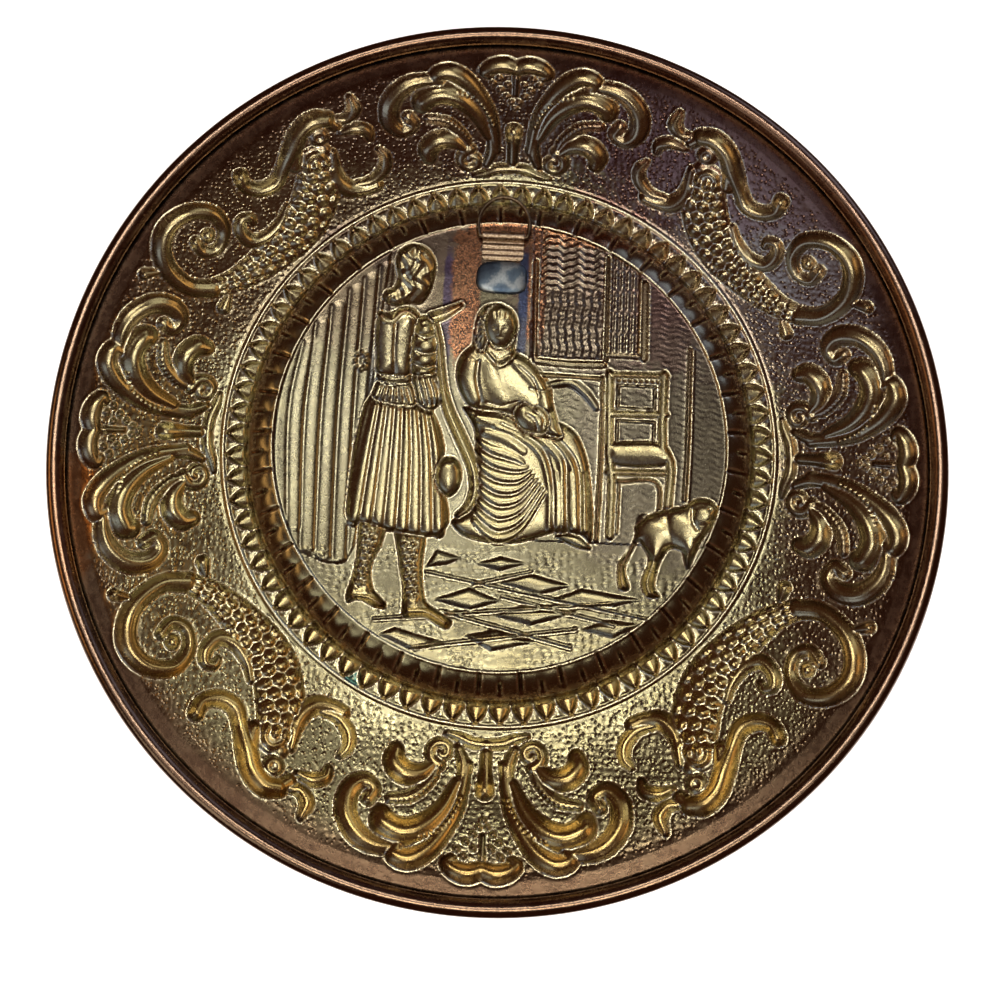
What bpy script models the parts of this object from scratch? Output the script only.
"""A pressed brass wall plate, modelled with its back towards -Y.

The plate is one sheet with a rolled rim. Everything that stands up on the display side (+Y)
is hollow on the back. A folded strap is soldered to the back and holds a D-shaped wire ring.
The origin is the point where a wall hook bears inside the top of that ring.
"""
import math

import bmesh
import bpy
import numpy as np
from mathutils import Vector

MM = 0.001

# Plate, driving dimensions
PLATE_RADIUS = 180 * MM          # to the outside of the rolled rim
BEAD_RADIUS = 3.4 * MM           # half the thickness of the rolled rim
BEAD_PROUD = 0.3 * MM            # the roll reaches this far past the sheet's display face
SHEET = 0.8 * MM                 # thickness of the sheet
MEDALLION_RADIUS = 88 * MM       # edge of the middle picture
COVE_RADIUS = 100.5 * MM         # foot of the cove around it
RING_RADIUS = 109.5 * MM         # thin raised line outside the tongues
FLAT_RADIUS = 167 * MM           # the border's ornament ends here
WELL_LIFT = 14 * MM              # the medallion stands this far behind the rim's plane
BORDER_LIFT = 5 * MM             # the border's inner edge stands this far behind it
ORNAMENT_DEPTH = 4.2 * MM        # deepest hollow of the border's scrolls
FIGURE_DEPTH = 3.6 * MM          # deepest hollow of the medallion's figures
RING_LINE_HEIGHT = 0.9 * MM
RING_LINE_WIDTH = 1.1 * MM
TONGUE_DEPTH = 1.5 * MM
TONGUES = 74

# Hanger, driving dimensions
WIRE_RADIUS = 0.9 * MM
RING_WIDTH = 22.4 * MM           # over the outside of the wire
RING_HEIGHT = 18.2 * MM
STRAP_WIDTH = 16.4 * MM
STRAP_THICKNESS = 0.7 * MM
STRAP_LENGTH = 11 * MM           # from the roll's top to the lower edge
WIRE_PLAY = 0.35 * MM            # room around the wire inside the strap's roll
STRAP_TOP = 83.5 * MM            # above the plate's centre
HANGER_SIDE = -2.3 * MM          # the hanger was soldered on this far off the plate's middle line
SOLDER_WIDTH = 20.5 * MM
SOLDER_LENGTH = 13.5 * MM
SOLDER_HEIGHT = 1.5 * MM
SOLDER_WAIST = 0.86              # how much of its size the solder keeps at its top
SEAT_GAP = 0.3 * MM              # left between touching pieces

# Fineness of the faceted solids
SHEET_GRID = 240
SHEET_TRIANGLES = 4080
BEAD_SEGMENTS = 64
BEAD_SIDES = 6
WIRE_SIDES = 8
RING_ARC_STEPS = 14
ROLL_STEPS = 10

# The drawing: its own radii in millimetres, which the plate's radii are matched to
DRAWN_RADII = (0.0, 88.0, 100.5, 109.5, 167.0, 180.0)


def wipe_scene():
    for obj in list(bpy.data.objects):
        bpy.data.objects.remove(obj, do_unlink=True)


def brushed_material(name, colour, roughness, metallic=1.0):
    material = bpy.data.materials.new(name)
    material.use_nodes = True
    shader = material.node_tree.nodes["Principled BSDF"]
    shader.inputs["Base Color"].default_value = (*colour, 1.0)
    shader.inputs["Roughness"].default_value = roughness
    shader.inputs["Metallic"].default_value = metallic
    return material


# Drawing tools. They all work on arrays of drawn coordinates in millimetres and return how
# deep a hollow is there, from 0 at its edge to 1 at its deepest

def smooth_line(points, steps=7):
    """A Catmull-Rom line through control points, each with any number of values."""
    p = np.asarray(points, float)
    p = np.vstack([2 * p[0] - p[1], p, 2 * p[-1] - p[-2]])
    t = np.linspace(0, 1, steps, endpoint=False)[:, None]
    runs = []
    for a, b, c, d in zip(p[:-3], p[1:-2], p[2:-1], p[3:]):
        runs.append(0.5 * (2 * b + (c - a) * t + (2 * a - 5 * b + 4 * c - d) * t ** 2
                           + (3 * b - a - 3 * c + d) * t ** 3))
    return np.vstack(runs + [p[-2][None, :]])


def gutter(x, y, points, depth=1.0, edge=0.9):
    """A round-bottomed hollow along a smooth line of (x, y, half width) points."""
    line = smooth_line(points)
    reach = line[:, 2].max()
    out = np.zeros_like(x)
    near = ((x > line[:, 0].min() - reach) & (x < line[:, 0].max() + reach)
            & (y > line[:, 1].min() - reach) & (y < line[:, 1].max() + reach))
    px, py = x[near], y[near]
    best = np.full(px.shape, 9.0)
    for (ax, ay, aw), (bx, by, bw) in zip(line[:-1], line[1:]):
        dx, dy = bx - ax, by - ay
        along = np.clip(((px - ax) * dx + (py - ay) * dy) / (dx * dx + dy * dy + 1e-9), 0, 1)
        off = np.hypot(px - ax - along * dx, py - ay - along * dy)
        best = np.minimum(best, off / (aw + along * (bw - aw)))
    out[near] = depth * np.clip(1 - best ** 2, 0, 1) ** edge
    return out


def bowl(x, y, cx, cy, rx, ry, depth=1.0, edge=0.9, turn=0.0):
    """A round or oval hollow."""
    c, s = math.cos(math.radians(turn)), math.sin(math.radians(turn))
    u = ((x - cx) * c + (y - cy) * s) / rx
    v = (-(x - cx) * s + (y - cy) * c) / ry
    return depth * np.clip(1 - u * u - v * v, 0, 1) ** edge


def curl(cx, cy, radius, start, turns, width, steps=9):
    """Points of a volute that winds inward from its start angle, for gutter()."""
    points = []
    for i in range(steps + 1):
        share = i / steps
        angle = math.radians(start + 360 * turns * share)
        r = radius * (1 - 0.8 * share)
        points.append((cx + r * math.cos(angle), cy + r * math.sin(angle), width * (1 - 0.35 * share)))
    return points


def deepest(*hollows):
    return np.maximum.reduce(hollows)


def palmette(a, r):
    """Half a palmette: a is the distance from its axis, r the distance from the plate's centre."""
    return deepest(
        gutter(a, r, ((7, 124, 1.6), (10, 140, 2.2), (15.5, 150, 2.8), (21.5, 157, 3.2), (28, 160.5, 3.2),
                      (33.5, 159, 2.8), (32.5, 156, 2.0)), 0.75),
        gutter(a, r, ((10.5, 131, 1.8), (16, 141.5, 3.0), (23.5, 148.5, 4.0), (31.5, 150.5, 4.2),
                      (38, 147.5, 4.0), (39, 144.5, 3.2)), 1.0),
        gutter(a, r, ((32, 156, 1.6), (40, 156, 2.6), (47.5, 152.5, 3.2), (52.5, 145, 3.4), (52, 136.5, 3.2),
                      (47, 132, 2.8), (42.5, 134.5, 2.4), (44.5, 138.5, 2.2)), 0.8),
        gutter(a, r, ((18, 124.7, 1.4), (21.5, 131, 1.8), (28, 136.5, 2.0), (36, 138, 1.6)), 0.55),
        gutter(a, r, ((20, 124.5, 1.6), (25, 128, 2.8), (31, 128, 3.6), (35, 124, 3.4), (34.5, 119.5, 2.4)), 0.9),
        gutter(a, r, curl(16.7, 120, 4.2, 80, -1.1, 2.0), 0.8),
        gutter(a, r, ((12.5, 124, 1.6), (10.5, 121, 1.6), (9.2, 130, 2.2)), 0.7),
        gutter(a, r, ((4.6, 120.5, 1.6), (4.6, 133, 1.5)), 0.6),
        gutter(a, r, ((0, 118.5, 2.0), (0, 128, 2.2), (0, 135, 3.0)), 0.85),
        gutter(a, r, ((0, 163.5, 2.6), (5, 165, 3.0), (10, 164, 2.8), (13.2, 161.5, 2.2), (11.5, 159.8, 1.6)), 0.9))


def dolphin(x, y):
    """One dolphin, drawn in the quarter where x and y are positive."""
    return deepest(
        gutter(x, y, ((82, 117, 6.0), (80, 106.6, 8.2), (81.5, 95.4, 8.6), (86.5, 85, 8.2), (93.5, 77, 7.2),
                      (101, 70, 6.0), (110, 63.5, 4.6), (119.5, 59.5, 3.6), (130, 60.5, 3.4), (139.5, 68, 3.6),
                      (143, 77.5, 3.8), (141, 86.5, 3.8), (133, 92.8, 3.4), (123, 92.5, 3.0), (117.5, 85.4, 2.6),
                      (119, 77.5, 2.4), (125, 75.5, 2.3), (129, 80, 2.2)), 0.85),
        bowl(x, y, 124.2, 82.8, 3.2, 3.2, 0.9),
        gutter(x, y, ((75, 133.5, 2.6), (79.2, 136.5, 3.4), (85, 135.5, 4.0), (90, 130, 4.0), (92.5, 122, 4.0),
                      (95.5, 113, 3.0), (98, 106.5, 3.4), (104, 103.6, 3.2), (110.5, 105, 2.8),
                      (113, 109.5, 3.0)), 1.0),
        gutter(x, y, ((91.4, 122, 3.2), (90.1, 114.5, 3.0)), 0.95),
        bowl(x, y, 81.5, 128, 4.6, 4.6, 0.7),
        bowl(x, y, 79, 121.5, 3.6, 3.6, 0.6),
        gutter(x, y, ((74, 136.5, 1.8), (70.5, 137, 2.4), (67.8, 141.4, 2.8), (70, 147, 1.4)), 0.7),
        gutter(x, y, ((72, 130.5, 1.4), (66.5, 132.6, 2.6), (61.5, 131.5, 2.4), (60, 128, 1.6)), 0.7),
        gutter(x, y, ((75, 121, 1.6), (72.5, 110, 3.0), (67, 104.5, 3.4), (60.5, 104.5, 2.8), (55.5, 106.5, 2.6)), 0.8),
        gutter(x, y, ((64, 106.5, 1.6), (57.5, 108.5, 2.2), (53, 114, 2.6), (53, 119.5, 2.2), (56, 123, 1.2)), 0.65),
        gutter(x, y, ((92, 96, 1.4), (94, 89, 2.2), (99, 82.5, 2.8), (105.6, 80.5, 2.8), (110.3, 84.8, 2.6),
                      (110.6, 89.8, 2.2), (107, 91, 1.8), (105.4, 88.5, 1.4)), 0.7),
        gutter(x, y, ((143.5, 66.5, 1.2), (149, 65.5, 2.2)), 0.6),
        gutter(x, y, ((112.5, 56.5, 1.2), (114, 51.5, 2.6)), 0.6))


def curtain(x, y):
    return deepest(*[
        gutter(x, y, ((top, high, 2.0), (middle, 12, 2.5), (foot, low, 2.5)), 0.5)
        for top, high, middle, foot, low in (
            (-77, 38, -80.5, -78, -34), (-72, 48, -75.8, -75, -42), (-65, 57, -71, -71, -46),
            (-58, 63, -66.3, -67, -48), (-51, 67, -61.5, -62.5, -49))])


def man(x, y):
    coat_top, coat_foot = 17.0, -35.0
    flutes = [
        gutter(x, y, ((-47.5 + 3.1 * i, coat_top, 1.6), (-51 + 4.6 * i, -8, 2.5), (-54.5 + 5.5 * i, coat_foot - 0.4 * i, 2.9)),
               0.75)
        for i in range(7)]
    return deepest(
        bowl(x, y, -36.4, 68, 8.2, 9.8, 0.95),
        gutter(x, y, ((-47, 60, 3.0), (-43, 66, 4.5), (-41, 72, 3.0)), 0.6),
        gutter(x, y, ((-46.5, 49, 3.6), (-45.5, 38, 4.4), (-45, 28, 4.2)), 0.8),
        gutter(x, y, ((-38, 50, 4.2), (-38.5, 40, 4.6), (-40, 28, 4.2)), 0.8),
        gutter(x, y, ((-47.5, 22.5, 3.0), (-38, 22.5, 3.2)), 0.6),
        gutter(x, y, ((-31, 48, 4.5), (-29.5, 38, 5.6), (-30, 30, 5.2)), 0.9),
        gutter(x, y, ((-30, 26, 4.6), (-26, 18, 5.2), (-24.5, 12, 3.6)), 0.7),
        gutter(x, y, ((-28, 48, 2.4), (-22, 52.5, 2.8), (-16.5, 55.5, 1.8)), 0.7),
        gutter(x, y, ((-24.5, 40, 1.6), (-22.5, 22, 2.0), (-17.5, 6, 2.2), (-11.5, -8, 2.4), (-9.5, -18, 2.2),
                      (-12.5, -25, 1.6)), 0.75),
        bowl(x, y, -17.2, -17, 4.8, 7.8, 0.8),
        bowl(x, y, -57, 36, 3.0, 4.0, 0.35),
        gutter(x, y, ((-49, -37, 4.6), (-49.5, -49, 4.4), (-51.5, -61, 3.4)), 0.75),
        gutter(x, y, ((-52, -62, 2.8), (-43.5, -66, 2.2)), 0.6),
        gutter(x, y, ((-33.8, -38, 5.2), (-33, -52, 4.4), (-32.5, -66, 3.6)), 0.75),
        gutter(x, y, ((-32.5, -67.5, 3.2), (-26, -70, 2.8), (-19, -72, 2.2)), 0.6),
        *flutes)


def woman(x, y):
    fold_x, fold_y = 2.0, 6.0
    folds = []
    for i in range(7):
        radius = 13.5 + 4.6 * i
        points = []
        for angle in (-158 + 3 * i, -130, -100, -70, -48 - 2 * i):
            t = math.radians(angle)
            points.append((fold_x + 0.86 * radius * math.cos(t), fold_y + radius * math.sin(t), 2.3))
        folds.append(gutter(x, y, points, 0.7))
    side_folds = [
        gutter(x, y, ((19 + 4.6 * i, 2 - 5 * i, 1.6), (22 + 4.4 * i, -14, 2.3), (21.5 + 4.8 * i, -33, 2.3)), 0.8)
        for i in range(4)]
    return deepest(
        bowl(x, y, -4, 46, 7.8, 9.4, 0.9),
        gutter(x, y, ((-11.5, 46, 2.4), (-12, 38, 2.8), (-9, 32, 2.0)), 0.5),
        gutter(x, y, ((-13, 30, 4.0), (-15, 21, 5.4), (-11, 14, 4.6)), 0.75),
        gutter(x, y, ((-3, 31, 4.4), (-1, 22, 5.6), (1, 15, 5.0)), 0.8),
        gutter(x, y, ((6, 32, 4.0), (14, 26, 5.8), (18.5, 18, 5.4), (19, 12, 3.6)), 0.95),
        gutter(x, y, ((19, 14, 3.0), (10, 17, 2.6), (2, 12, 2.2)), 0.7),
        bowl(x, y, 13, 9, 6.0, 7.0, 0.8),
        gutter(x, y, ((-15, 8, 4.2), (-3, 7, 5.0), (9, 1, 4.6), (17, -8, 3.8)), 0.7),
        gutter(x, y, ((23, -37.5, 2.0), (31, -39.5, 2.6), (37, -38, 1.8)), 0.7),
        *folds, *side_folds)


def chair(x, y):
    left, right = 43.5, 64.5
    rails = [gutter(x, y, ((left, high, half), (right, high + 0.8, half)), 0.6)
             for high, half in ((28.5, 1.9), (13, 1.9), (-5, 4.0), (-15, 1.9))]
    return deepest(
        gutter(x, y, ((left, 29, 2.0), (left + 0.5, -36, 2.0)), 0.65),
        gutter(x, y, ((right, 30, 2.0), (right + 1.8, -8, 2.0), (right + 0.6, -22, 2.0)), 0.65),
        *rails)


def window(x, y):
    return deepest(
        gutter(x, y, ((10, 72, 2.0), (10.8, 31, 2.0)), 0.45),
        gutter(x, y, ((40, 70, 1.7), (40.8, -36, 1.7)), 0.45),
        gutter(x, y, ((56.5, 60, 2.0), (57, 31, 2.0)), 0.5),
        gutter(x, y, ((10, 29.5, 2.4), (40, 27, 2.6)), 0.5),
        gutter(x, y, ((73.5, 41, 1.6), (74, -22, 1.6)), 0.35))


def dog(x, y):
    return deepest(
        gutter(x, y, ((55, -42, 6.0), (64, -36, 6.2), (74, -34, 6.6)), 0.9),
        bowl(x, y, 79.5, -30.5, 5.4, 5.4, 0.95),
        gutter(x, y, ((53, -46, 4.0), (51, -54, 2.2), (50.5, -60, 1.8)), 0.7),
        gutter(x, y, ((60, -46, 3.8), (61, -55, 2.4), (62, -62, 1.8)), 0.7),
        gutter(x, y, ((72, -40, 4.2), (72.5, -48, 2.4), (71, -55, 1.8)), 0.7))


def floor_tiles(x, y):
    lines = []
    for i in range(4):
        drop = -52 - 7.5 * i
        reach = math.sqrt(86 ** 2 - drop ** 2) - 12
        lines.append(gutter(x, y, ((-reach, drop - 3, 1.3), (0, drop - 6, 1.3), (reach, drop + 3, 1.3)), 0.16))
    return deepest(*lines)


def figures(x, y):
    return deepest(curtain(x, y), man(x, y), woman(x, y), chair(x, y), window(x, y), dog(x, y), floor_tiles(x, y))


def dish(r):
    """Lift of the plain sheet behind the rim's plane, in metres."""
    share = np.clip((r - MEDALLION_RADIUS) / (COVE_RADIUS - MEDALLION_RADIUS), 0, 1)
    cove = BORDER_LIFT + (WELL_LIFT - BORDER_LIFT) * (1 - share ** 2.2)
    out = np.clip((r - RING_RADIUS) / (FLAT_RADIUS - RING_RADIUS), 0, 1)
    border = BORDER_LIFT * (1 - out * out * (3 - 2 * out))
    return np.where(r < COVE_RADIUS, cove, border)


def back_height(x, y):
    """How far the sheet's back face stands behind the rim's plane at (x, y), in metres."""
    r = np.hypot(x, y)
    angle = np.arctan2(y, x)
    matched = (0.0, MEDALLION_RADIUS, COVE_RADIUS, RING_RADIUS, FLAT_RADIUS, PLATE_RADIUS)
    drawn_r = np.interp(r, matched, DRAWN_RADII)
    dx, dy = drawn_r * np.cos(angle), drawn_r * np.sin(angle)
    quarter = angle - np.round(angle / (math.pi / 2)) * (math.pi / 2)
    across, out = np.abs(drawn_r * np.sin(quarter)), drawn_r * np.cos(quarter)
    ornament = deepest(palmette(across, out), dolphin(np.abs(dx), np.abs(dy)))
    ornament = ornament * (drawn_r > DRAWN_RADII[3])
    picture = figures(dx, dy) * np.clip((DRAWN_RADII[1] - 1.0 - drawn_r) / 1.5, 0, 1)
    ring_line = RING_LINE_HEIGHT * np.clip(1 - ((r - RING_RADIUS) / RING_LINE_WIDTH) ** 2, 0, 1)
    turn = angle * TONGUES / (2 * math.pi)
    beat = np.abs(turn - np.round(turn))
    tongue_middle = 0.5 * (COVE_RADIUS + RING_RADIUS)
    tongue_half = 0.5 * (RING_RADIUS - COVE_RADIUS) - RING_LINE_WIDTH
    tongue = np.clip(1 - ((r - tongue_middle) / tongue_half) ** 2 - (beat / 0.36) ** 2, 0, 1) ** 0.6
    return dish(r) + ring_line - ORNAMENT_DEPTH * ornament - FIGURE_DEPTH * picture - TONGUE_DEPTH * tongue


# Places that the pieces share. The drawing plane's (x, y, height behind the rim) becomes
# world (x, -height, z), with the origin at the hook's bearing point
ROLL_RADIUS = WIRE_RADIUS + WIRE_PLAY + STRAP_THICKNESS
STRAP_BASE = WELL_LIFT + SEAT_GAP
BAR_HEIGHT = STRAP_BASE + ROLL_RADIUS
BAR_Z = STRAP_TOP - ROLL_RADIUS
HOOK_Z = BAR_Z - WIRE_RADIUS + RING_HEIGHT - 2 * WIRE_RADIUS
CENTRE_Z = -HOOK_Z
PLANE_Y = BAR_HEIGHT


def to_world(x, y, height):
    return Vector((x - HANGER_SIDE, PLANE_Y - height, CENTRE_Z + y))


def finish(name, mesh, material, smooth_angle=None):
    obj = bpy.data.objects.new(name, mesh)
    bpy.context.scene.collection.objects.link(obj)
    obj.data.materials.append(material)
    if smooth_angle is not None:
        obj.data.shade_smooth()
        obj.data.set_sharp_from_angle(angle=math.radians(smooth_angle))
    return obj


def mesh_from(bm, name):
    bmesh.ops.recalc_face_normals(bm, faces=bm.faces)
    mesh = bpy.data.meshes.new(name)
    bm.to_mesh(mesh)
    bm.free()
    return mesh


def pressed_sheet(radius):
    """The sheet's back face, pressed to the relief and thinned to few triangles."""
    bm = bmesh.new()
    bmesh.ops.create_grid(bm, x_segments=SHEET_GRID, y_segments=SHEET_GRID, size=1.0)
    for vert in bm.verts:
        u, v = vert.co.x, vert.co.y
        vert.co.x = radius * u * math.sqrt(1 - v * v / 2)
        vert.co.y = radius * v * math.sqrt(1 - u * u / 2)
    x = np.array([vert.co.x for vert in bm.verts])
    y = np.array([vert.co.y for vert in bm.verts])
    for vert, height in zip(bm.verts, back_height(x, y)):
        vert.co = to_world(vert.co.x, vert.co.y, height)
    full = mesh_from(bm, "pressed_sheet_full")
    dense = bpy.data.objects.new("pressed_sheet_full", full)
    bpy.context.scene.collection.objects.link(dense)
    thin = dense.modifiers.new("thin", "DECIMATE")
    thin.ratio = SHEET_TRIANGLES / (2 * len(full.polygons))
    thin.use_collapse_triangulate = True
    depsgraph = bpy.context.evaluated_depsgraph_get()
    sheet = bpy.data.meshes.new_from_object(dense.evaluated_get(depsgraph))
    bpy.data.objects.remove(dense, do_unlink=True)
    return sheet


def thicken(mesh, shift):
    """Closes a sheet: its copy is moved by the shift and the edges are walled."""
    bm = bmesh.new()
    bm.from_mesh(mesh)
    made = bmesh.ops.extrude_face_region(bm, geom=bm.faces[:], use_keep_orig=True)
    moved = [item for item in made["geom"] if isinstance(item, bmesh.types.BMVert)]
    bmesh.ops.translate(bm, verts=moved, vec=shift)
    return mesh_from(bm, mesh.name)


def turned_bead():
    """The rolled rim as a turned ring."""
    centre_r = PLATE_RADIUS - BEAD_RADIUS
    centre_height = BEAD_RADIUS - SHEET - BEAD_PROUD
    bm = bmesh.new()
    corners = []
    for i in range(BEAD_SIDES):
        t = 2 * math.pi * (i + 0.5) / BEAD_SIDES
        corner_radius = BEAD_RADIUS / math.cos(math.pi / BEAD_SIDES)
        corners.append(bm.verts.new(to_world(centre_r + corner_radius * math.cos(t), 0,
                                             centre_height + corner_radius * math.sin(t))))
    section = [bm.edges.new((a, b)) for a, b in zip(corners, corners[1:] + corners[:1])]
    bmesh.ops.spin(bm, geom=corners + section, cent=to_world(0, 0, 0), axis=(0, 1, 0),
                   angle=2 * math.pi, steps=BEAD_SEGMENTS, use_merge=True)
    return mesh_from(bm, "rolled_rim")


def make_plate(material):
    sheet_radius = PLATE_RADIUS - BEAD_RADIUS
    sheet = thicken(pressed_sheet(sheet_radius), Vector((0, SHEET, 0)))
    plate = finish("plate", sheet, material, 30)
    rim = finish("rolled_rim", turned_bead(), material)
    rim.hide_render = True
    rim.display_type = "WIRE"
    join = plate.modifiers.new("rim", "BOOLEAN")
    join.operation = "UNION"
    join.solver = "EXACT"
    join.object = rim
    return plate


def swept_wire(points, sides, radius, name):
    """A closed loop of round wire through points that lie in the plane of the plate."""
    bm = bmesh.new()
    count = len(points)
    loops = []
    for i, point in enumerate(points):
        before = (point - points[i - 1]).normalized()
        after = (points[(i + 1) % count] - point).normalized()
        outward = (before + after).normalized().cross(Vector((0, 1, 0))).normalized()
        stretch = 1 / max(0.5, math.sqrt((1 + before.dot(after)) / 2))
        loop = []
        for k in range(sides):
            t = 2 * math.pi * (k + 0.5) / sides
            offset = outward * math.cos(t) * radius * stretch + Vector((0, 1, 0)) * math.sin(t) * radius
            loop.append(bm.verts.new(point + offset))
        loops.append(loop)
    for a, b in zip(loops, loops[1:] + loops[:1]):
        for k in range(sides):
            bm.faces.new((a[k], a[(k + 1) % sides], b[(k + 1) % sides], b[k]))
    return mesh_from(bm, name)


def make_ring(material):
    """A D of wire: a straight bar through the strap's roll, and an arc above it."""
    half_width = RING_WIDTH / 2 - WIRE_RADIUS
    rise = RING_HEIGHT - 2 * WIRE_RADIUS
    half_bar = STRAP_WIDTH / 2 + WIRE_RADIUS + SEAT_GAP
    sweep = math.pi - math.asin(min(1.0, half_bar / half_width))
    arc_height = rise / (1 - math.cos(sweep))
    arc_centre = BAR_Z + rise - arc_height
    line = []
    for i in range(RING_ARC_STEPS + 1):
        t = sweep - 2 * sweep * i / RING_ARC_STEPS
        line.append(to_world(HANGER_SIDE + half_width * math.sin(t), arc_centre + arc_height * math.cos(t), BAR_HEIGHT))
    return finish("hanging_ring", swept_wire(line, WIRE_SIDES, WIRE_RADIUS, "hanging_ring"), material, 50)


def make_strap(material):
    """A strip folded round the bar, its two ends lying on each other below."""
    middle = ROLL_RADIUS - STRAP_THICKNESS / 2
    half = STRAP_THICKNESS / 2
    outer = []
    inner = []
    for i in range(ROLL_STEPS + 1):
        t = math.radians(-90 + 300 * i / ROLL_STEPS)
        direction = Vector((0, -math.sin(t), math.cos(t)))
        outer.append(direction * (middle + half))
        inner.append(direction * (middle - half))
    lower_edge = -(STRAP_LENGTH - ROLL_RADIUS)
    tail_outer = Vector((0, ROLL_RADIUS, lower_edge))
    tail_inner = Vector((0, ROLL_RADIUS - STRAP_THICKNESS, lower_edge))
    profile = [tail_outer] + outer + inner[::-1] + [tail_inner]
    bm = bmesh.new()
    place = to_world(HANGER_SIDE - STRAP_WIDTH / 2, BAR_Z, BAR_HEIGHT)
    face = bm.faces.new([bm.verts.new(place + corner) for corner in profile])
    made = bmesh.ops.extrude_face_region(bm, geom=[face], use_keep_orig=True)
    moved = [item for item in made["geom"] if isinstance(item, bmesh.types.BMVert)]
    bmesh.ops.translate(bm, verts=moved, vec=(STRAP_WIDTH, 0, 0))
    return finish("ring_strap", mesh_from(bm, "ring_strap"), material, 40)


def make_solder(material):
    """A low lump of solder over the strap's lower edge."""
    bm = bmesh.new()
    top = STRAP_TOP - STRAP_LENGTH - SEAT_GAP
    middle = top - SOLDER_LENGTH / 2
    rings = []
    for level, share in ((0.0, 1.0), (0.55, 0.97), (1.0, SOLDER_WAIST)):
        ring = []
        for i in range(20):
            t = 2 * math.pi * i / 20
            c, s = math.cos(t), math.sin(t)
            x = share * SOLDER_WIDTH / 2 * math.copysign(abs(c) ** 0.6, c)
            y = share * SOLDER_LENGTH / 2 * math.copysign(abs(s) ** 0.6, s)
            ring.append(bm.verts.new(to_world(HANGER_SIDE + x, middle + y, STRAP_BASE + level * SOLDER_HEIGHT)))
        rings.append(ring)
    for a, b in zip(rings, rings[1:]):
        for i in range(20):
            bm.faces.new((a[i], a[(i + 1) % 20], b[(i + 1) % 20], b[i]))
    bm.faces.new(rings[0])
    bm.faces.new(rings[-1])
    return finish("solder", mesh_from(bm, "solder"), material, 40)


def main():
    wipe_scene()
    brass = brushed_material("pressed_brass", (0.55, 0.42, 0.20), 0.32)
    wire_brass = brushed_material("wire_brass", (0.50, 0.36, 0.22), 0.35)
    solder = brushed_material("solder_grey", (0.45, 0.45, 0.46), 0.45)
    make_plate(brass)
    make_ring(wire_brass)
    make_strap(wire_brass)
    make_solder(solder)


main()
